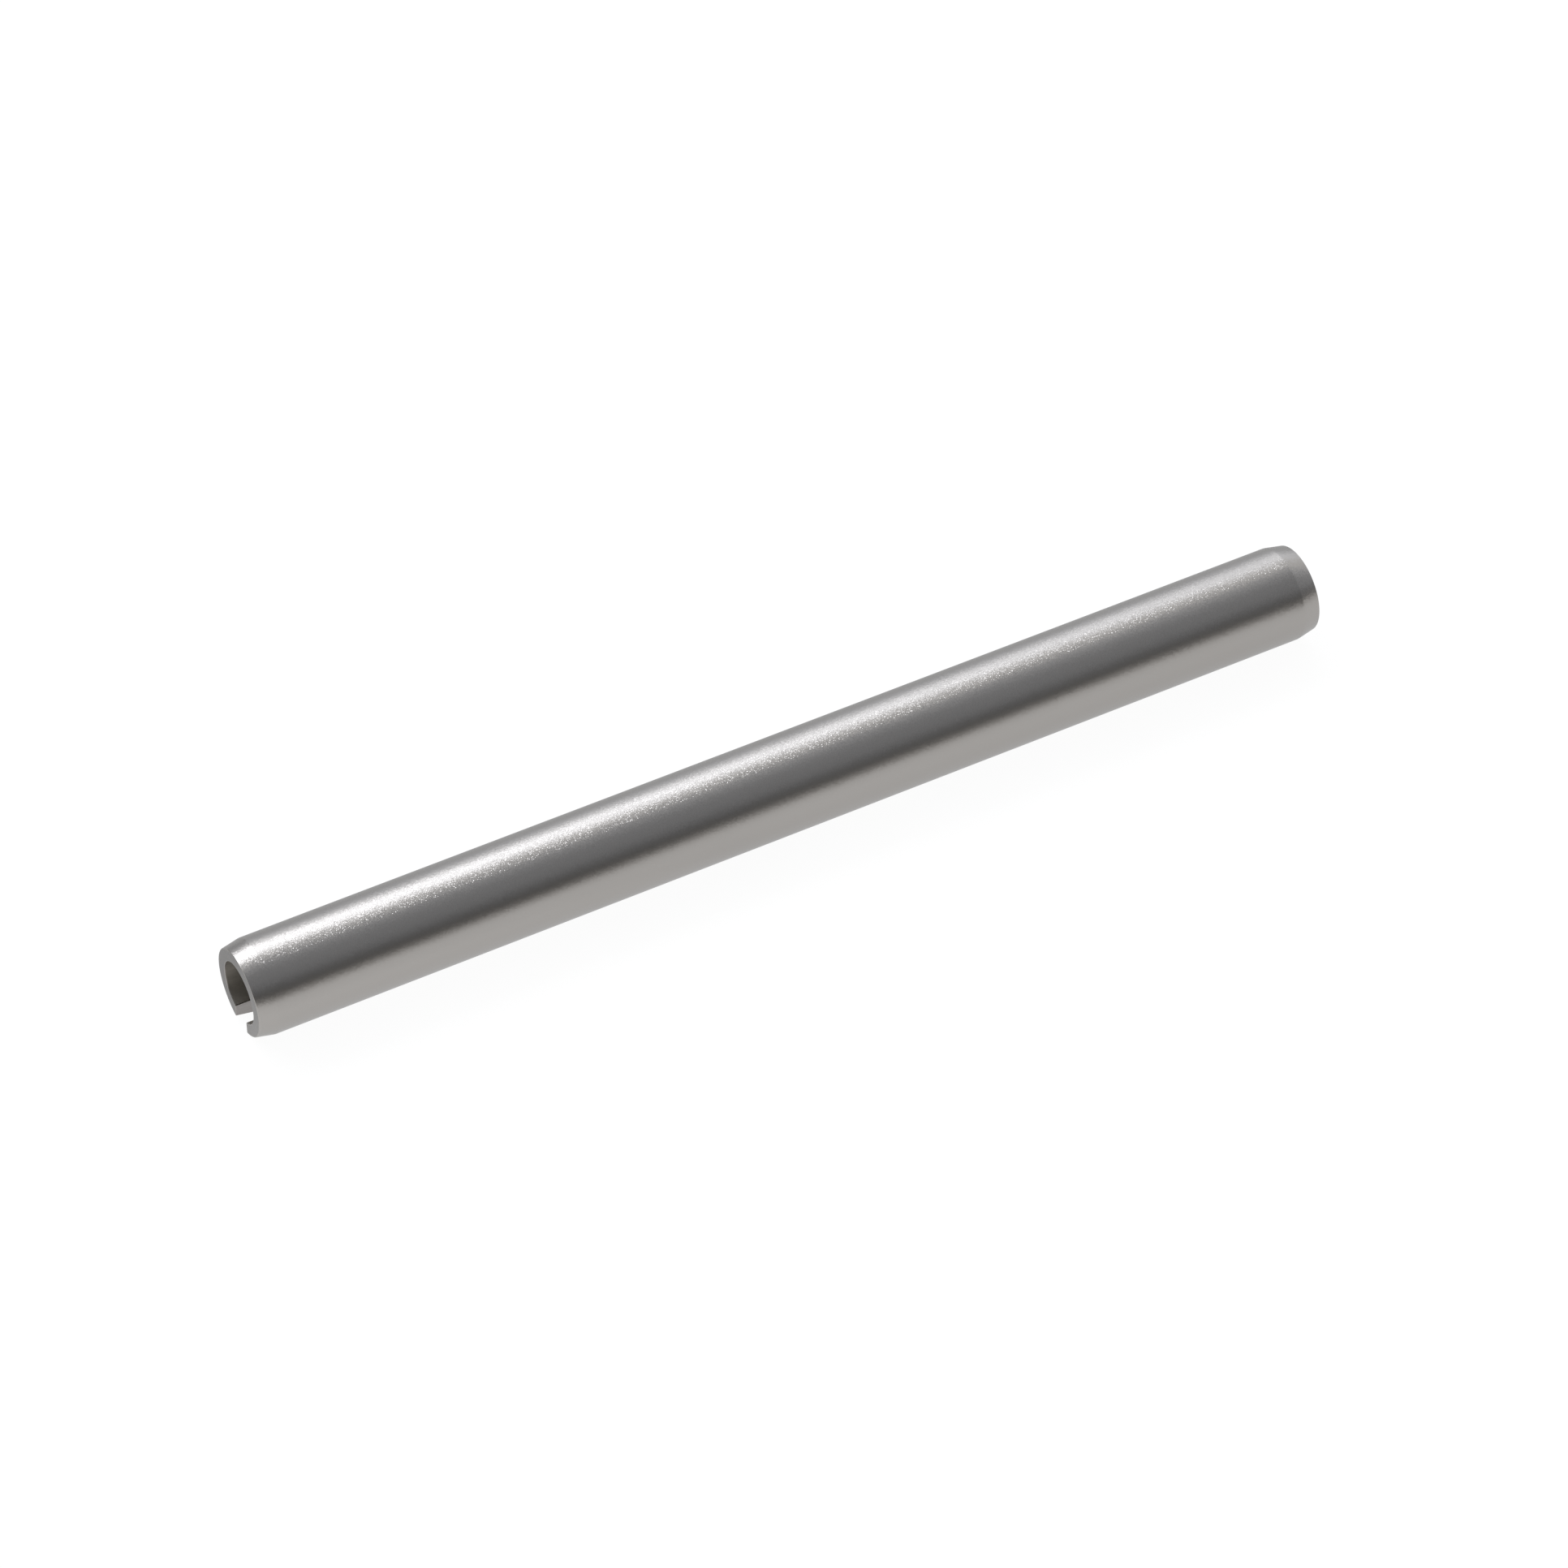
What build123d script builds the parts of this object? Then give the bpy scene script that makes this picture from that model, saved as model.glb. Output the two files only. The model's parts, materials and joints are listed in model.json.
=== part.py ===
from build123d import *
import os

# Slotted spring pin: strip steel rolled into a tube that does not quite close. All sizes are in
# millimetres and are those of the free pin, before a hole squeezes it. The axis runs along X with
# the origin on it at mid-length, and the slot faces down, so that the pin lies on the slot's edges.
length = 55.0
outer_diameter = 4.58
wall = 0.8
slot_width = 1.15
lead_length = 0.9
lead_depth = 0.18
shoulder_radius = 0.4
edge_break = 0.04

outer_radius = outer_diameter / 2
bore_radius = outer_radius - wall
tip_radius = outer_radius - lead_depth
end_x = length / 2
shoulder_x = end_x - lead_length

with BuildPart() as roll_pin:
    # Half of the wall in section, from mid-length to one end: a straight shank, then the tapered
    # lead that guides the pin into its hole. The lead is rolled in, so its shoulder is soft, and
    # the bore keeps one size right up to the end face.
    with BuildSketch(Plane.XZ) as wall_section:
        with BuildLine():
            Polyline(
                (0, bore_radius),
                (end_x, bore_radius),
                (end_x, tip_radius),
                (shoulder_x, outer_radius),
                (0, outer_radius),
                close=True,
            )
        make_face()
        shoulder = wall_section.vertices().group_by(Axis.Y)[-1].sort_by(Axis.X)[-1]
        fillet(shoulder, radius=shoulder_radius)
        mirror(about=Plane.YZ)
    revolve(axis=Axis.X)

    # The slot is the gap between the strip's two long edges, which face each other squarely.
    with BuildSketch(Plane.YZ) as slot_section:
        Rectangle(slot_width, outer_radius, align=(Align.CENTER, Align.MAX))
    extrude(amount=end_x, both=True, mode=Mode.SUBTRACT)

    # Tumbling takes the sharpness off every edge of the strip: the flat faces are its two ends
    # and its two long edges, and all their rims are broken alike.
    fillet(roll_pin.faces().filter_by(GeomType.PLANE).edges(), radius=edge_break)

roll_pin.part.label = "roll_pin"

os.makedirs("parts", exist_ok=True)
export_step(roll_pin.part, "parts/roll_pin.step")
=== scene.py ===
# %% [markdown]
# # A slotted spring pin
# A spring pin is strip steel rolled into a tube that does not quite close. Driven into a hole a
# little smaller than itself, it closes up and grips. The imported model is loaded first, as the
# frame: it fixes the pin's place and size, and everything below is fitted to it.

# %% Load the frame
import json
import math

import bmesh
import bpy
from mathutils import Matrix, Vector


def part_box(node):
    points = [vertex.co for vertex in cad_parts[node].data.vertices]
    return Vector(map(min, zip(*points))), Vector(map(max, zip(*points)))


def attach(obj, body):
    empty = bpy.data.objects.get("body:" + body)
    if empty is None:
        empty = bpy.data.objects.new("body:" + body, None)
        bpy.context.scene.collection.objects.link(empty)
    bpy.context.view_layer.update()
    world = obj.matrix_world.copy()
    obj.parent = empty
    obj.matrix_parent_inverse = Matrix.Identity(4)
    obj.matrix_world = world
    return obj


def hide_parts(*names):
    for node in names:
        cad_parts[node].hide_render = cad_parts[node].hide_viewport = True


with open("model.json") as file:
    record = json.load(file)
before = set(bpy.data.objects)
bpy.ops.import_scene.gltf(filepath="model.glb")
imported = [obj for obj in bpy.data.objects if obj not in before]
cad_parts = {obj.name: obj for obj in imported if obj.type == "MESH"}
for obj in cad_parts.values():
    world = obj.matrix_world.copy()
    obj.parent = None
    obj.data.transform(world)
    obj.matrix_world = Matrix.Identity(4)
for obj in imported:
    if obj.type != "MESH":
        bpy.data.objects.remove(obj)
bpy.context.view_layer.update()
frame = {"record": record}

# %% [markdown]
# The record already holds the sizes of the surfaces that other parts touch: the shank, the bore
# and the box. They could be typed again, but then the piece made here could drift from the model,
# so they are read from the frame. Only the sizes that the record leaves out are written as
# numbers. Blender works in metres, so each of those is a count of millimetres times MM.

# %% Sizes
MM = 0.001
mounts = {mount["name"]: mount for mount in frame["record"]["mounts"]}
outer_radius = mounts["shank"]["dims"]["r_mm"] * MM
bore_radius = mounts["bore"]["dims"]["r_mm"] * MM
low, high = (Vector(corner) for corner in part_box("roll_pin"))
end_x = high.x
floor_z = low.z

slot_width = 1.15 * MM
lead_length = 0.9 * MM
lead_depth = 0.18 * MM
shoulder_radius = 0.4 * MM
edge_break = 0.04 * MM

shoulder_x = end_x - lead_length
tip_radius = outer_radius - lead_depth
print(f"pin {2 * end_x / MM:.2f} mm long, {2 * outer_radius / MM:.2f} mm over the shank")

# %% [markdown]
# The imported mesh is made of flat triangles, which show as bands on bright metal, so the visible
# pin is modelled again with finer faces. Its wall has six corners in section. Turning the whole
# section and cutting a slot through it would leave slivers beside the cut. Here each corner is
# swept by itself, as an arc that starts and stops exactly on the slot's two faces. Bridging one
# arc to the next then gives clean rows of quads, and the slot needs no cut at all.

# %% Sweep the corners of the wall
ARC_STEPS = 180


def slotted_arc(bm, x, radius):
    """Sweeps a vertex round the pin's axis, from slot face to slot face, and returns its edges."""
    start = math.asin(slot_width / 2 / radius)
    earlier = set(bm.edges)
    vertex = bm.verts.new((x, radius * math.sin(start), -radius * math.cos(start)))
    bmesh.ops.spin(
        bm, geom=[vertex], cent=(0, 0, 0), axis=(1, 0, 0),
        angle=2 * (math.pi - start), steps=ARC_STEPS, use_merge=False,
    )
    return [edge for edge in bm.edges if edge not in earlier]


wall_corners = [
    (-end_x, bore_radius),
    (-end_x, tip_radius),
    (-shoulder_x, outer_radius),
    (shoulder_x, outer_radius),
    (end_x, tip_radius),
    (end_x, bore_radius),
]
bm = bmesh.new()
arcs = [slotted_arc(bm, x, radius) for x, radius in wall_corners]
print(len(arcs), "arcs of", len(arcs[0]), "edges")

# %% Bridge the arcs and close the slot's faces
for arc, next_arc in zip(arcs, arcs[1:] + arcs[:1]):
    bmesh.ops.bridge_loops(bm, edges=arc + next_arc)
open_edges = [edge for edge in bm.edges if edge.is_boundary]
bmesh.ops.holes_fill(bm, edges=open_edges, sides=len(wall_corners))
bmesh.ops.recalc_face_normals(bm, faces=bm.faces)
print(f"closed wall of {bm.calc_volume() / MM**3:.1f} cubic millimetres")

# %% [markdown]
# Two sets of edges are rounded. The shoulders, where the leads meet the shank, were rolled in and
# are soft, so they get a wide bevel. All the edges of the strip were tumbled, so they get a narrow
# one. A Bevel modifier could round both by their angle, but the operator lets each set be picked
# by what it is: the shoulders by their place, and the strip's edges by how sharp they are.

# %% Round the shoulders and the strip's edges
SHOULDER_SEGMENTS = 8
EDGE_SEGMENTS = 4
SHARP = math.radians(40)


def bevel(bm, edges, offset, segments):
    """Rounds edges, with the settings that the editor has, and returns the new faces."""
    return bmesh.ops.bevel(
        bm, geom=edges, offset=offset, offset_type="OFFSET", segments=segments, profile=0.5,
        affect="EDGES", material=-1, clamp_overlap=True,
    )["faces"]


def on_shoulder(edge):
    """True for an edge that runs round the pin where a lead meets the shank."""
    near, far = (vertex.co.x for vertex in edge.verts)
    return abs(near - far) < edge_break and abs(abs(near) - shoulder_x) < edge_break


half_turn_of_lead = math.atan2(lead_depth, lead_length) / 2
shoulder_edges = [edge for edge in bm.edges if on_shoulder(edge)]
bevel(bm, shoulder_edges, shoulder_radius * math.tan(half_turn_of_lead), SHOULDER_SEGMENTS)

strip_edges = [edge for edge in bm.edges if edge.calc_face_angle() > SHARP]
rounded_edges = set(bevel(bm, strip_edges, edge_break, EDGE_SEGMENTS))
print(f"{len(shoulder_edges)} shoulder edges and {len(strip_edges)} strip edges rounded")

# %% [markdown]
# The pin's surfaces were made in different ways, so they get different finishes. Painting a mask
# would be one way to tell them apart. Here the form itself tells: the rounded edges are the faces
# that the last bevel made, the end faces look along the pin, the slot's faces look across it, and
# the bore's look at the axis. All the rest is the tumbled outside.

# %% Sort the faces by finish
FINISHES = ("tumbled", "burnished", "cropped", "slit", "rolled")
SQUARELY = 0.999


def finish_of(face):
    """Names the finish of a face, from how it was made, where it looks and where it lies."""
    centre = face.calc_center_median()
    outward = Vector((0, centre.y, centre.z)).normalized()
    if face in rounded_edges:
        return "burnished"
    if abs(face.normal.x) > SQUARELY:
        return "cropped"
    beside_slot = centre.z < 0 and abs(centre.y) < slot_width / 2 + edge_break
    if abs(face.normal.y) > SQUARELY and beside_slot:
        return "slit"
    if face.normal.dot(outward) < -SQUARELY:
        return "rolled"
    return "tumbled"


for face in bm.faces:
    face.smooth = True
    face.material_index = FINISHES.index(finish_of(face))
for index, name in enumerate(FINISHES):
    print(name, sum(face.material_index == index for face in bm.faces), "faces")

# %% [markdown]
# The mesh becomes an object that rides on the pin's only body and stands for its CAD node. Smooth
# shading alone would bend the light across the flat faces, because their corners share normals
# with the rounded edges. A Weighted Normal modifier leans each normal towards the larger faces,
# so flats look flat and only the narrow rounds turn the light.

# %% Make the piece
pin_mesh = bpy.data.meshes.new("spring_pin")
bm.to_mesh(pin_mesh)
bm.free()
pin = bpy.data.objects.new("spring_pin", pin_mesh)
bpy.context.scene.collection.objects.link(pin)
weighted = pin.modifiers.new("flat faces stay flat", "WEIGHTED_NORMAL")
weighted.keep_sharp = True
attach(pin, "root")
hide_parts("roll_pin")
print(pin.name, len(pin_mesh.polygons), "faces")

# %% [markdown]
# Two helpers serve every material. One turns a written sRGB colour into the linear numbers that a
# shader works in. The other adds a node with its settings and links in one call, which keeps a
# node tree as short to write as it is to read.

# %% Colour and node helpers


def linear(hex_colour, alpha=1.0):
    """Turns an sRGB colour such as "A09D99" into linear red, green, blue and alpha."""
    channels = [int(hex_colour[at:at + 2], 16) / 255 for at in (0, 2, 4)]
    return [c / 12.92 if c <= 0.04045 else ((c + 0.055) / 1.055) ** 2.4 for c in channels] + [alpha]


def add_node(tree, kind, settings={}, inputs={}):
    """Adds a node, sets its properties, and sets or links its inputs."""
    node = tree.nodes.new(kind)
    for name, value in settings.items():
        setattr(node, name, value)
    for socket, value in inputs.items():
        if isinstance(value, bpy.types.NodeSocket):
            tree.links.new(value, node.inputs[socket])
        else:
            node.inputs[socket].default_value = value
    return node


def new_material(name):
    """Makes an empty node material and returns it with its tree and Object coordinates."""
    material = bpy.data.materials.new(name)
    material.use_nodes = True
    tree = material.node_tree
    tree.nodes.clear()
    place = add_node(tree, "ShaderNodeTexCoord").outputs["Object"]
    return material, tree, place


def finish(tree, shader):
    """Sends a shader to the material's output."""
    add_node(tree, "ShaderNodeOutputMaterial", inputs={"Surface": shader.outputs[0]})


# %% [markdown]
# The outside is hardened spring steel, tumbled in grit: a soft grey sheen with a fine sparkle. The
# sparkle comes from single grains, whose flats lean a little and so catch a lamp one by one. A
# noise bump would only ripple the surface. So the surface is cut into cells, and the normal of
# each cell will lean by an amount of its own, along the pin and across it.

# %% Grains that lean
# Real grains are about 0.01 mm wide. They are drawn wider, so that each one still shows.
GRAIN_WIDTH = 0.027 * MM
LEAN_ALONG = 0.095
LEAN_ACROSS = 0.08


def leaning_grains(tree, place):
    """Cuts the surface into grains, and returns each one's random colour and its lean."""
    grain = add_node(
        tree, "ShaderNodeTexVoronoi", {"feature": "F1"},
        {"Vector": place, "Scale": 1 / GRAIN_WIDTH},
    ).outputs["Color"]
    lean = add_node(
        tree, "ShaderNodeVectorMath", {"operation": "MULTIPLY_ADD"},
        {0: grain, 1: (2 * LEAN_ALONG, 2 * LEAN_ACROSS, 0), 2: (-LEAN_ALONG, -LEAN_ACROSS, 0)},
    ).outputs[0]
    return grain, lean


# %% [markdown]
# Some grains also flash in the grey beside the highlight, where a small lean doesn't reach the
# lamp. What makes them do so on a real pin can't be seen. Here it is a stand-in: in a band beside
# the top, a few grains are taken as rubbed level and smooth, so that they face up wherever they
# lie on the round. The band was placed by trial for the camera's view, and a real pin is
# probably tumbled alike all round. A chance between 0 and 1, raised to a high power, is nearly 0
# for most grains, which keeps the level ones rare.

# %% Grains rubbed level
# The rubbed band's middle, in degrees above the front, and how much it narrows to the right.
RUBBED_SIDE = 83.0
RUBBED_TAPER = -0.001
# Degrees from the band's middle, where the level grains start and where they are most level.
RUBBED_REACH = (13.0, 7.0)
LEVEL_PULL = 7.0
# The power that the chance is raised to.
RARITY = 40.0


def levelled(tree, place, grain):
    """Returns how hard each grain was rubbed level: hardly at all, but for a few in the band."""
    side = math.radians(RUBBED_SIDE)
    nearness = add_node(
        tree, "ShaderNodeVectorMath", {"operation": "DOT_PRODUCT"},
        {0: place, 1: (RUBBED_TAPER, -math.cos(side), math.sin(side))},
    ).outputs["Value"]
    far, near = (outer_radius * math.cos(math.radians(angle)) for angle in RUBBED_REACH)
    pull = add_node(
        tree, "ShaderNodeMapRange", {"interpolation_type": "SMOOTHSTEP"},
        {"Value": nearness, "From Min": far, "From Max": near, "To Max": LEVEL_PULL},
    ).outputs[0]
    chance = add_node(tree, "ShaderNodeSeparateXYZ", inputs={0: grain}).outputs["Z"]
    rare = add_node(
        tree, "ShaderNodeMath", {"operation": "POWER"}, {0: chance, 1: RARITY}
    ).outputs[0]
    return add_node(
        tree, "ShaderNodeMath", {"operation": "MULTIPLY"}, {0: rare, 1: pull}
    ).outputs[0]


# %% [markdown]
# The shader reads both. To the smooth surface's normal are added the lean of each grain and, for
# a level one, a pull upwards that tips a little to the left. The sum is made one unit long again,
# because a shader expects that of a normal.

# %% Tumbled spring steel
STEEL = "A3A09D"
STEEL_AT_THE_RIM = "EDEEEF"
TUMBLED_ROUGHNESS = 0.275
LEVEL_ROUGHNESS = 0.08
LEVEL_TILT = -0.30


def tumbled_spring_steel():
    """Steel with a soft sheen, whose grains lean one by one and catch the light in turn."""
    material, tree, place = new_material("tumbled_spring_steel")
    grain, lean = leaning_grains(tree, place)
    level = levelled(tree, place, grain)
    upright = add_node(
        tree, "ShaderNodeVectorMath", {"operation": "SCALE"},
        {0: (LEVEL_TILT, 0, 1), "Scale": level},
    ).outputs[0]
    roughness = add_node(
        tree, "ShaderNodeMapRange",
        inputs={"Value": level, "To Min": TUMBLED_ROUGHNESS, "To Max": LEVEL_ROUGHNESS},
    ).outputs[0]
    surface = add_node(tree, "ShaderNodeNewGeometry").outputs["Normal"]
    leaning = add_node(
        tree, "ShaderNodeVectorMath", {"operation": "ADD"}, {0: surface, 1: lean}
    ).outputs[0]
    pulled = add_node(
        tree, "ShaderNodeVectorMath", {"operation": "ADD"}, {0: leaning, 1: upright}
    ).outputs[0]
    grain_normal = add_node(
        tree, "ShaderNodeVectorMath", {"operation": "NORMALIZE"}, {0: pulled}
    ).outputs[0]
    steel = add_node(
        tree, "ShaderNodeBsdfPrincipled",
        inputs={
            "Base Color": linear(STEEL), "Metallic": 1.0, "Roughness": roughness,
            "Specular Tint": linear(STEEL_AT_THE_RIM), "Normal": grain_normal,
        },
    )
    finish(tree, steel)
    return material


# %% [markdown]
# The other surfaces are the same steel, finished by other tools. The rounded edges were rubbed
# bright. The end faces were cropped off and are dull. The slot's faces are the slit edges of the
# strip, with marks along their length. The bore is the rolled face of the strip, which grit can't
# reach, so it keeps a brown film from hardening. They differ only in colour, roughness and in how
# their marks are stretched, so one function makes all four.

# %% Steel with marks
# Most of the noise lies between these two values.
NOISE_LOW, NOISE_HIGH = 0.3, 0.7
# The share by which the marks make the roughness rise and fall.
UNEVENNESS = 0.15


def marked_steel(name, colour, roughness, mark_width, mark_length, mark_depth):
    """Steel with fine marks along the pin, whose width, length and depth are real sizes."""
    material, tree, place = new_material(name)
    stretched = add_node(
        tree, "ShaderNodeMapping",
        inputs={"Vector": place, "Scale": (1 / mark_length, 1 / mark_width, 1 / mark_width)},
    ).outputs[0]
    marks = add_node(
        tree, "ShaderNodeTexNoise", inputs={"Vector": stretched, "Scale": 1.0, "Detail": 3.0}
    ).outputs[0]
    uneven = add_node(
        tree, "ShaderNodeMapRange",
        inputs={"Value": marks, "From Min": NOISE_LOW, "From Max": NOISE_HIGH,
                "To Min": roughness * (1 - UNEVENNESS), "To Max": roughness * (1 + UNEVENNESS)},
    ).outputs[0]
    bump = add_node(
        tree, "ShaderNodeBump", inputs={"Height": marks, "Strength": 1.0, "Distance": mark_depth}
    ).outputs[0]
    steel = add_node(
        tree, "ShaderNodeBsdfPrincipled",
        inputs={
            "Base Color": linear(colour), "Metallic": 1.0, "Roughness": uneven,
            "Specular Tint": linear(STEEL_AT_THE_RIM), "Normal": bump,
        },
    )
    finish(tree, steel)
    return material


# %% The steel of the edges, the ends, the slot and the bore
# name: colour, roughness, then the marks' width, length and depth
MARKED = {
    "burnished": ("A6A3A0", 0.24, 0.02 * MM, 0.02 * MM, 0.0002 * MM),
    "cropped": ("9C9A98", 0.42, 0.08 * MM, 0.08 * MM, 0.002 * MM),
    "slit": ("A19D9B", 0.38, 0.06 * MM, 1.5 * MM, 0.002 * MM),
    "rolled": ("A39E96", 0.55, 0.12 * MM, 3.0 * MM, 0.002 * MM),
}
for finish_name in FINISHES:
    if finish_name == "tumbled":
        made = tumbled_spring_steel()
    else:
        made = marked_steel(f"{finish_name}_spring_steel", *MARKED[finish_name])
    pin_mesh.materials.append(made)
print([made.name for made in pin_mesh.materials])

# %% [markdown]
# The floor is plain and pale. It is lit like any matt surface and keeps the pin's shadow, but part
# of its brightness is its own, so that it reaches white for the camera without more light being
# poured on the pin. Bright metal mirrors the floor along its whole lower half, so the glow that
# the metal sees is set by itself: a little stronger at the left, and much weaker behind the pin.
# No real floor glows so. These strengths were found by trial, for the right greys on the metal.

# %% Floor
FLOOR_SIDE = 20.0
FLOOR_ALBEDO = 0.08
FLOOR_GLOW = 0.95
# The glow that the metal sees, and the stretches over which it changes.
GLOW_LEFT = 0.99
GLOW_RIGHT = 0.92
GLOW_BEHIND = 0.64
LEFT, RIGHT = -24 * MM, 24 * MM
FADE_FROM, FADE_TO = -2.5 * MM, 2 * MM


def pale_floor():
    """A matt floor that also glows for the camera and for the metal, less behind the pin."""
    material, tree, place = new_material("pale_floor")
    where = add_node(tree, "ShaderNodeSeparateXYZ", inputs={0: place}).outputs
    in_front = add_node(
        tree, "ShaderNodeMapRange",
        inputs={"Value": where["X"], "From Min": LEFT, "From Max": RIGHT,
                "To Min": GLOW_LEFT, "To Max": GLOW_RIGHT},
    ).outputs[0]
    uneven = add_node(
        tree, "ShaderNodeMapRange",
        inputs={"Value": where["Y"], "From Min": FADE_FROM, "From Max": FADE_TO,
                "To Min": in_front, "To Max": GLOW_BEHIND},
    ).outputs[0]
    rays = add_node(tree, "ShaderNodeLightPath").outputs
    mirrored = add_node(
        tree, "ShaderNodeMath", {"operation": "MAXIMUM"},
        {0: rays["Is Glossy Ray"], 1: rays["Is Transmission Ray"]},
    ).outputs[0]
    in_metal = add_node(
        tree, "ShaderNodeMath", {"operation": "MULTIPLY"}, {0: mirrored, 1: uneven}
    ).outputs[0]
    glow = add_node(
        tree, "ShaderNodeMath", {"operation": "MULTIPLY_ADD"},
        {0: rays["Is Camera Ray"], 1: FLOOR_GLOW, 2: in_metal},
    ).outputs[0]
    matt = add_node(tree, "ShaderNodeBsdfDiffuse", inputs={"Color": [FLOOR_ALBEDO] * 3 + [1]})
    bright = add_node(tree, "ShaderNodeEmission", inputs={"Strength": glow})
    both = add_node(tree, "ShaderNodeAddShader", inputs={0: matt.outputs[0], 1: bright.outputs[0]})
    finish(tree, both)
    return material


bm = bmesh.new()
bmesh.ops.create_grid(bm, x_segments=1, y_segments=1, size=FLOOR_SIDE / 2)
bmesh.ops.translate(bm, verts=bm.verts, vec=(0, 0, floor_z))
floor_mesh = bpy.data.meshes.new("floor")
bm.to_mesh(floor_mesh)
bm.free()
floor_mesh.materials.append(pale_floor())
floor = bpy.data.objects.new("floor", floor_mesh)
bpy.context.scene.collection.objects.link(floor)
print("floor", FLOOR_SIDE, "m wide")

# %% [markdown]
# The world is plain white. It lights the floor evenly, and the pin mirrors it only in the narrow
# gaps that the floor and the cards below leave open.

# %% World
world = bpy.data.worlds.new("studio")
bpy.context.scene.world = world
world.use_nodes = True
background = world.node_tree.nodes["Background"].inputs
background["Color"].default_value = (1, 1, 1, 1)
background["Strength"].default_value = 1.0
print("world", world.name)

# %% [markdown]
# A bright round bar shows its surroundings as bands along itself, so it is lit by giving it things
# to mirror: a grey wall in front, a softbox beyond the top and a pale card low behind. Area lamps
# would light it as well, but a lamp glows evenly, and the edge of its reflection is a hard line.
# These cards glow by an amount that rises or falls along one axis, so one band melts into the
# next. The metal sees them and the camera doesn't. Their white leans to blue, as studio lamps do,
# but a card may have a foot of another white, which turns into the cool one over some height. The
# studio's sizes are in metres, and its angles are in degrees above the front.

# %% Studio card helpers
COOL_WHITE = (0.965, 0.99, 1.04, 1.0)
# The heights where the foot's white starts to turn and where it has turned.
FOOT_ENDS = (0.18, 0.32)


def glowing(name, *ramps, foot_colour=COOL_WHITE):
    """A material that only glows, by a product of ramps: axis, near, far, strength at each."""
    material, tree, place = new_material(name)
    where = add_node(tree, "ShaderNodeSeparateXYZ", inputs={0: place}).outputs
    strength = 1.0
    for axis, near, far, strength_near, strength_far in ramps:
        ramp = add_node(
            tree, "ShaderNodeMapRange", {"interpolation_type": "SMOOTHSTEP"},
            {"Value": where[axis], "From Min": near, "From Max": far,
             "To Min": strength_near, "To Max": strength_far},
        ).outputs[0]
        strength = add_node(
            tree, "ShaderNodeMath", {"operation": "MULTIPLY"}, {0: ramp, 1: strength}
        ).outputs[0]
    above_foot = add_node(
        tree, "ShaderNodeMapRange", {"interpolation_type": "SMOOTHSTEP"},
        {"Value": where["Z"], "From Min": FOOT_ENDS[0], "From Max": FOOT_ENDS[1]},
    ).outputs[0]
    foot, rest = (
        add_node(
            tree, "ShaderNodeEmission", inputs={"Color": white, "Strength": strength}
        ).outputs[0]
        for white in (foot_colour, COOL_WHITE)
    )
    finish(tree, add_node(tree, "ShaderNodeMixShader", inputs={0: above_foot, 1: foot, 2: rest}))
    return material


def set_up(name, bm, material):
    """Makes a bmesh a part of the studio that only the metal sees."""
    mesh = bpy.data.meshes.new(name)
    bm.to_mesh(mesh)
    bm.free()
    mesh.materials.append(material)
    card = bpy.data.objects.new(name, mesh)
    bpy.context.scene.collection.objects.link(card)
    card.visible_camera = False
    print(name, [round(side, 3) for side in card.dimensions])


def add_card(bm, x_range, height, distance, elevation, slant=0.0):
    """Adds a flat card whose face looks at the pin's axis, at an angle above the front."""
    half_side = 0.5
    verts = bmesh.ops.create_grid(bm, x_segments=1, y_segments=1, size=half_side)["verts"]
    width = x_range[1] - x_range[0]
    bmesh.ops.scale(bm, verts=verts, vec=(width, height, 1))
    slanting = Matrix.Rotation(math.radians(slant), 3, "Z")
    bmesh.ops.rotate(bm, verts=verts, cent=(0, 0, 0), matrix=slanting)
    bmesh.ops.translate(bm, verts=verts, vec=(sum(x_range) / 2, 0, -distance))
    turn = Matrix.Rotation(-math.radians(90 + elevation), 3, "X")
    bmesh.ops.rotate(bm, verts=verts, cent=(0, 0, 0), matrix=turn)


# %% [markdown]
# The wall is a little over a quarter of a cylinder round the pin's axis, spun from one edge as the
# corners of the pin's wall were. It starts just above the floor and ends past the top. Its dark
# lower part draws the dark band along the pin. The very foot and the top are paler again, so the
# band fades out softly on both sides, and the brighter right end keeps that lead from turning
# black. The foot has a warmer white, so the lower side of the dark band is a warm grey.

# %% Grey wall
WALL_RADIUS = 0.6
WALL_HALF_LENGTH = 2.5
WALL_LOW_ANGLE = 2.0
WALL_HIGH_ANGLE = 103.0
WALL_STEPS = 32
WALL_GREYS = ("Z", 0.22, 0.50, 0.15, 0.375)
WALL_BRIGHTER_END = ("X", 0.25, 0.75, 1.0, 1.3)
WALL_BRIGHTER_FOOT = ("Z", 0.02, 0.17, 3.8, 1.0)
WALL_BRIGHTER_TOP = ("Y", -0.20, 0.12, 1.0, 1.7)
WARM_WHITE = (1.01, 0.985, 0.95, 1.0)

bm = bmesh.new()
foot = [
    bm.verts.new((side * WALL_HALF_LENGTH, -WALL_RADIUS, 0))
    for side in (-1, 1)
]
edge = bm.edges.new(foot)
low_turn = Matrix.Rotation(-math.radians(WALL_LOW_ANGLE), 3, "X")
bmesh.ops.rotate(bm, verts=bm.verts, cent=(0, 0, 0), matrix=low_turn)
bmesh.ops.spin(
    bm, geom=[edge], cent=(0, 0, 0), axis=(-1, 0, 0),
    angle=math.radians(WALL_HIGH_ANGLE - WALL_LOW_ANGLE), steps=WALL_STEPS, use_merge=False,
)
set_up("grey_wall", bm, glowing(
    "grey_wall", WALL_GREYS, WALL_BRIGHTER_END, WALL_BRIGHTER_FOOT, WALL_BRIGHTER_TOP,
    foot_colour=WARM_WHITE,
))

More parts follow.
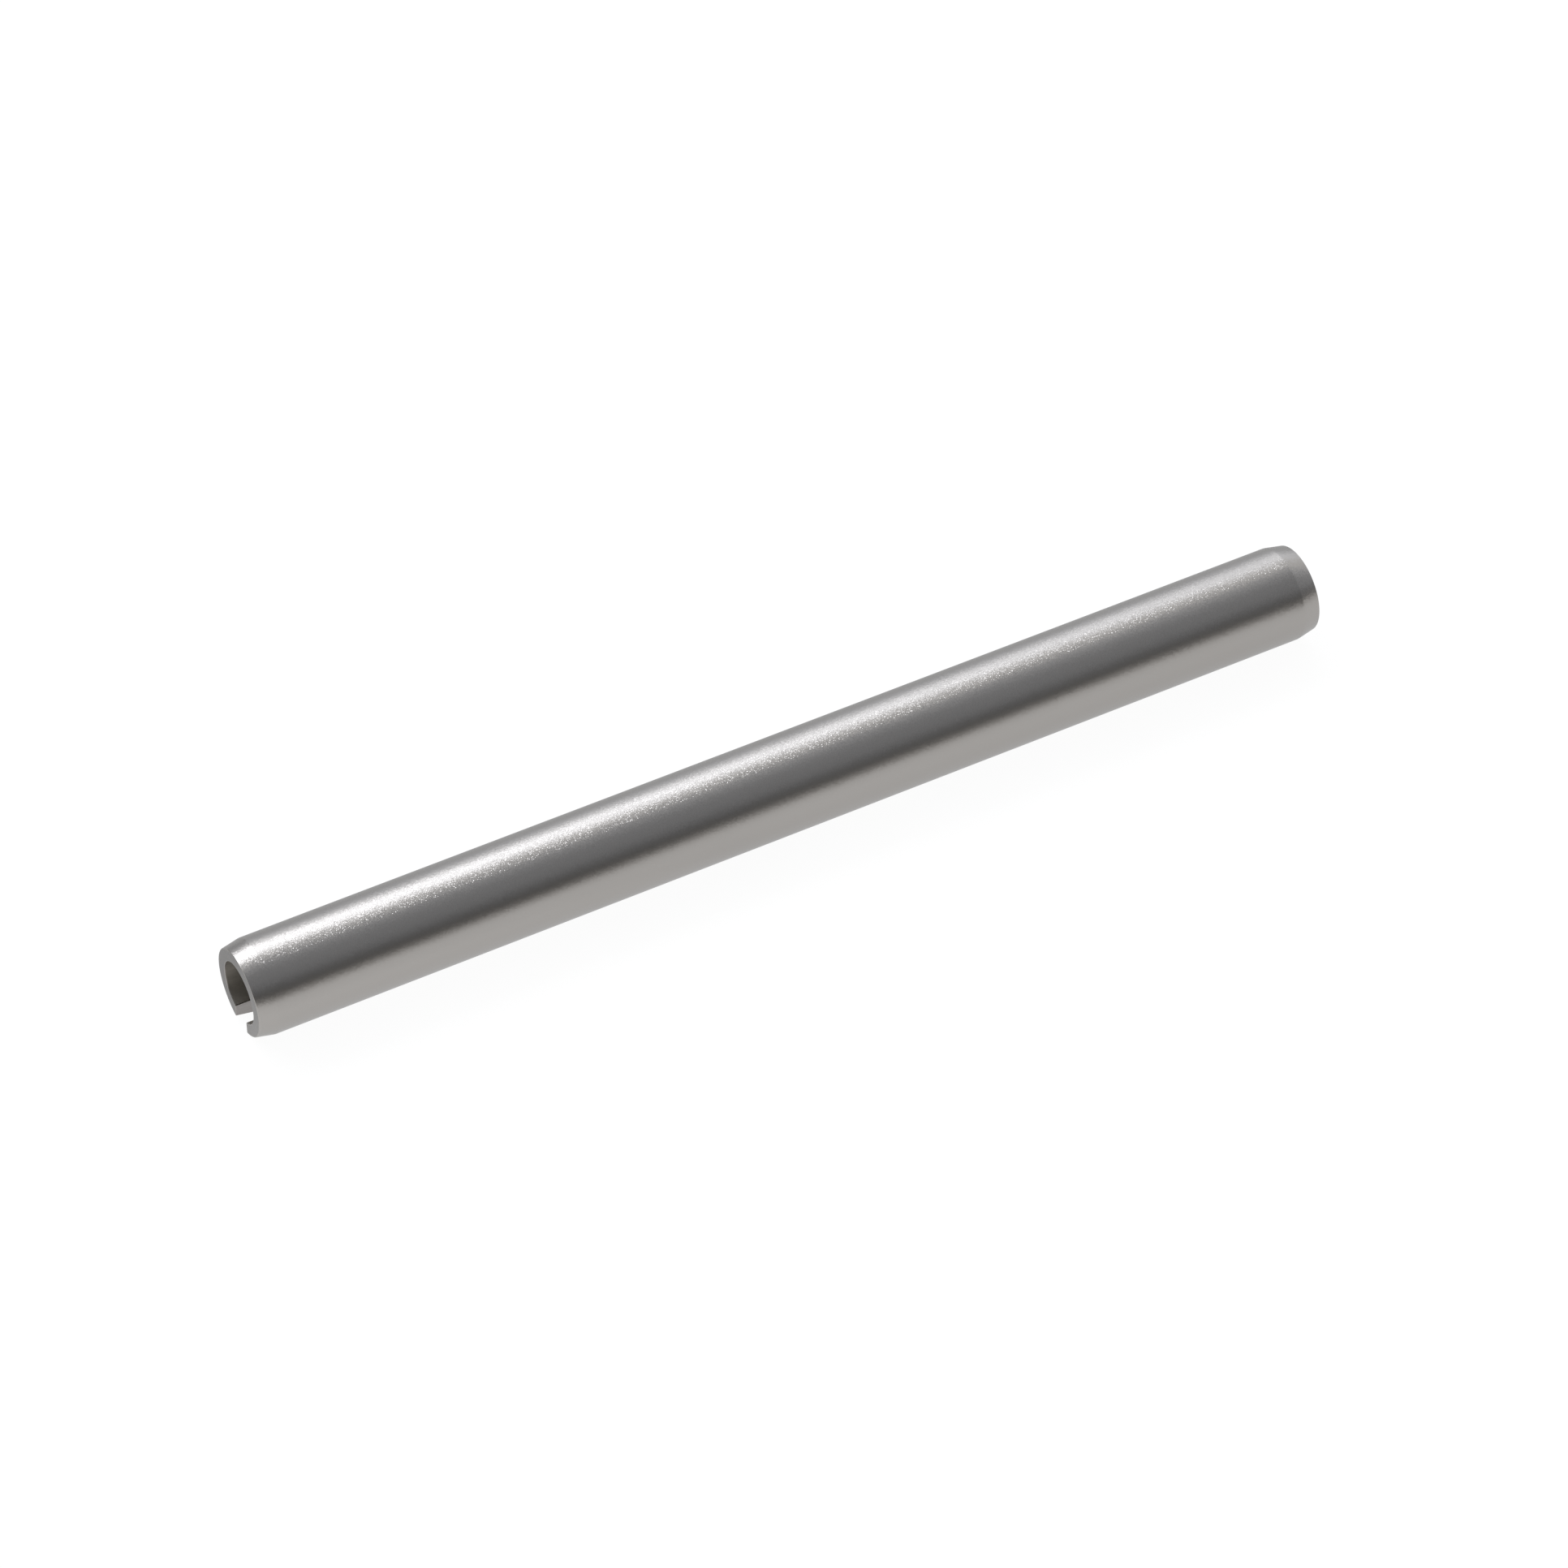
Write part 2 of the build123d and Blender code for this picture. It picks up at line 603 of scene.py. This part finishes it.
# %% [markdown]
# The back card closes the ring behind the pin. It is dim at its foot and bright at its top, where
# it meets the softbox, so the far edge of the pin stays light against the floor. Its left half is
# dimmer: of the whole pin only the left lead mirrors it there, as a dark line behind the highlight.

# %% Back card
CARD_DISTANCE = 0.6
CARD_HEIGHT = 0.30
CARD_GREYS = ("Z", 0.0, CARD_HEIGHT, 0.66, 1.3)
CARD_DIMMER_LEFT = ("X", 0.04, 0.17, 0.52, 1.0)

bm = bmesh.new()
add_card(bm, (-WALL_HALF_LENGTH, WALL_HALF_LENGTH), CARD_HEIGHT, CARD_DISTANCE, 180)
bmesh.ops.translate(bm, verts=bm.verts, vec=(0, 0, CARD_HEIGHT / 2))
set_up("back_card", bm, glowing("pale_grey_card", CARD_GREYS, CARD_DIMMER_LEFT))

# %% [markdown]
# The softbox is the main light, and the highlight beside the pin's top is its reflection. It glows
# most at the left, least at the far right, where the right lead mirrors it, and it hangs askew. So
# the highlight fades and drifts along the pin, where a level and even softbox would draw a straight
# stripe of one strength. The left lead faces more to the left and mirrors what hangs there. So the
# softbox is cut by a plane and goes on level, or its highlight would slide down that lead.

# %% Softbox
SOFTBOX_DISTANCE = 0.30
SOFTBOX_X = (-0.35, 0.57)
SOFTBOX_ELEVATION = 135.5
SOFTBOX_HEIGHT = 0.15
SOFTBOX_SLANT = -18.0
SOFTBOX_FADE = ("X", -0.015, 0.19, 4.1, 1.56)
SOFTBOX_DIM_END = ("X", 0.17, 0.36, 1.0, 0.82)
LEVEL_END_X = 0.05
LEVEL_END_ELEVATION = 132.0
LEVEL_END_HEIGHT = 0.16

bm = bmesh.new()
add_card(bm, SOFTBOX_X, SOFTBOX_HEIGHT, SOFTBOX_DISTANCE, SOFTBOX_ELEVATION, SOFTBOX_SLANT)
bmesh.ops.bisect_plane(
    bm, geom=bm.verts[:] + bm.edges[:] + bm.faces[:],
    plane_co=(LEVEL_END_X, 0, 0), plane_no=(-1, 0, 0), clear_outer=True,
)
level_x = (SOFTBOX_X[0], LEVEL_END_X)
add_card(bm, level_x, LEVEL_END_HEIGHT, SOFTBOX_DISTANCE, LEVEL_END_ELEVATION)
set_up("softbox", bm, glowing("softbox_cloth", SOFTBOX_FADE, SOFTBOX_DIM_END))

# %% [markdown]
# The camera looks down across the near left end, so that the end face, the bore and the slot all
# show. It stands far off with a long lens, which keeps the two sides of the pin nearly parallel.
# Its place is given as two angles and a distance from the frame's origin, and it looks back at
# that point: angles are easier to judge and to change than three coordinates.

# %% Camera
CAMERA_AZIMUTH = math.radians(28.56)
CAMERA_ELEVATION = math.radians(44.76)
CAMERA_DISTANCE = 296.2 * MM
FOCAL_LENGTH = 148.68
SENSOR_WIDTH = 36.0
# Nearer than the pin, which is a few hundred millimetres away.
CLIP_START = 10 * MM

towards_camera = Vector((
    -math.sin(CAMERA_AZIMUTH) * math.cos(CAMERA_ELEVATION),
    -math.cos(CAMERA_AZIMUTH) * math.cos(CAMERA_ELEVATION),
    math.sin(CAMERA_ELEVATION),
))
camera_data = bpy.data.cameras.new("camera")
camera_data.lens = FOCAL_LENGTH
camera_data.sensor_width = SENSOR_WIDTH
camera_data.clip_start = CLIP_START
camera = bpy.data.objects.new("camera", camera_data)
camera.location = towards_camera * CAMERA_DISTANCE
camera.rotation_euler = (-towards_camera).to_track_quat("-Z", "Y").to_euler()
bpy.context.scene.collection.objects.link(camera)
bpy.context.scene.camera = camera
print("camera at", [round(place / MM) for place in camera.location], "mm")

# %% [markdown]
# The Standard view keeps each colour as it was written, where a film-like view would turn the
# white floor grey.

# %% Finish
bpy.context.scene.view_settings.view_transform = "Standard"
